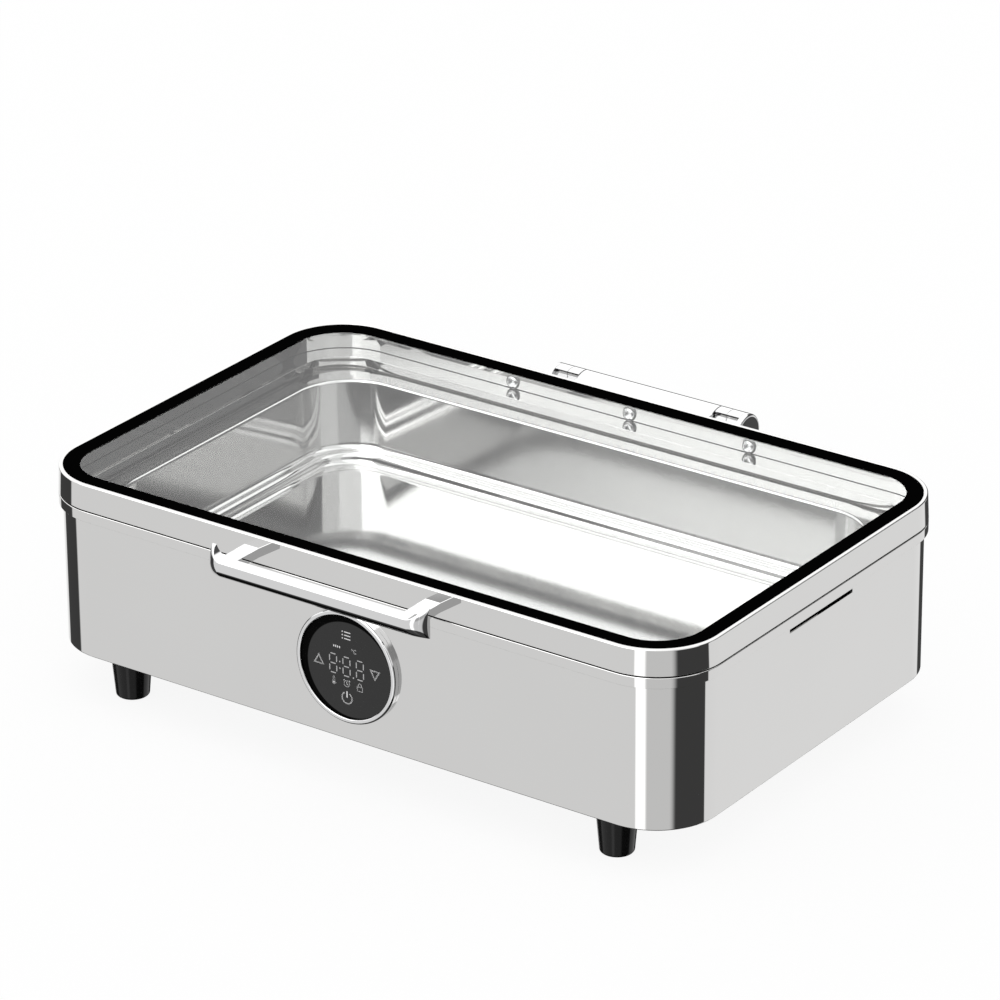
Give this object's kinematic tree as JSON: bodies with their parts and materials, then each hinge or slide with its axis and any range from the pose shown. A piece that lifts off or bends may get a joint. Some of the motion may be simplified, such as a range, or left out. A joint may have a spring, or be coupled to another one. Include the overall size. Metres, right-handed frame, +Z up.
{
  "type": "electric chafing dish",
  "caption": "Rectangular stainless steel electric chafing dish with hinged glass lid, lift-out food pan over a water well, round touch panel and front bar handle, on plastic feet.",
  "frame": {"origin": "on the table, below the middle of the body, at the foot of the four feet", "axes": "+X to the user's right along the long side, +Y to the rear where the hinge is, +Z up"},
  "size_m": [0.57, 0.4413, 0.1746],
  "materials": {
    "polished_stainless": "mirror polished stainless steel",
    "chrome_plate": "bright chrome plate",
    "zinc_steel": "zinc plated steel",
    "clear_glass": "clear tempered glass",
    "black_glass": "back-painted black glass",
    "black_silicone": "matt black silicone",
    "foot_plastic": "satin black plastic",
    "housing_plastic": "moulded black plastic",
    "circuit_board": "green solder mask",
    "component_plastic": "moulded component cases",
    "lead_insulation": "silicone insulation",
    "blade_brass": "plated brass",
    "heater_aluminium": "plain aluminium",
    "element_sheath": "heat-dulled steel sheath",
    "ceramic_fibre": "ceramic fibre mat",
    "bush_plastic": "natural nylon"
  },
  "bodies": {
    "base": {"outer_shell": "polished_stainless", "water_pan": "polished_stainless", "panel_bezel": "chrome_plate", "hinge_bracket": "chrome_plate", "hinge_cap_left": "chrome_plate", "hinge_cap_right": "chrome_plate", "bracket_screws": "chrome_plate", "bottom_cover": "zinc_steel", "bottom_screws": "zinc_steel", "foot_screws": "zinc_steel", "foot_nuts": "zinc_steel", "board_standoffs": "zinc_steel", "board_screws": "zinc_steel", "inlet_screws": "zinc_steel", "earth_stud": "zinc_steel", "heater_studs": "zinc_steel", "heater_clamps": "zinc_steel", "heater_nuts": "zinc_steel", "hinge_pin": "zinc_steel", "bracket_nuts": "zinc_steel", "touch_springs": "zinc_steel", "temperature_sensor": "zinc_steel", "panel_glass": "black_glass", "foot_front_left": "foot_plastic", "foot_front_right": "foot_plastic", "foot_rear_left": "foot_plastic", "foot_rear_right": "foot_plastic", "panel_housing": "housing_plastic", "inlet_socket": "housing_plastic", "power_board": "circuit_board", "display_board": "circuit_board", "relay": "component_plastic", "transformer": "component_plastic", "capacitor": "component_plastic", "terminal_block": "component_plastic", "digit_display": "component_plastic", "thermal_cutoff": "component_plastic", "mains_leads": "lead_insulation", "earth_lead": "lead_insulation", "heater_leads": "lead_insulation", "panel_cable": "lead_insulation", "inlet_pins": "blade_brass", "heater_plate": "heater_aluminium", "heat_shield": "heater_aluminium", "heater_tube": "element_sheath", "insulation_mat": "ceramic_fibre"},
    "lid": {"lid_frame": "polished_stainless", "lid_glass": "clear_glass", "glass_seal": "black_silicone", "handle": "chrome_plate", "handle_screws": "zinc_steel", "hinge_arm": "chrome_plate", "hinge_arm_screws": "chrome_plate", "hinge_bushes": "bush_plastic", "hinge_damper": "zinc_steel"},
    "pan": {"food_pan": "polished_stainless"}
  },
  "joints": [
    {"name": "lid_hinge", "type": "hinge", "parent": "base", "child": "lid", "pos_m": [0, 0.208, 0.1538], "axis": [-1, 0, 0], "range_deg": [0, 90]},
    {"name": "pan_lift", "type": "slide", "parent": "base", "child": "pan", "axis": [0, 0, 1], "range_m": [0, 0.02]}
  ]
}
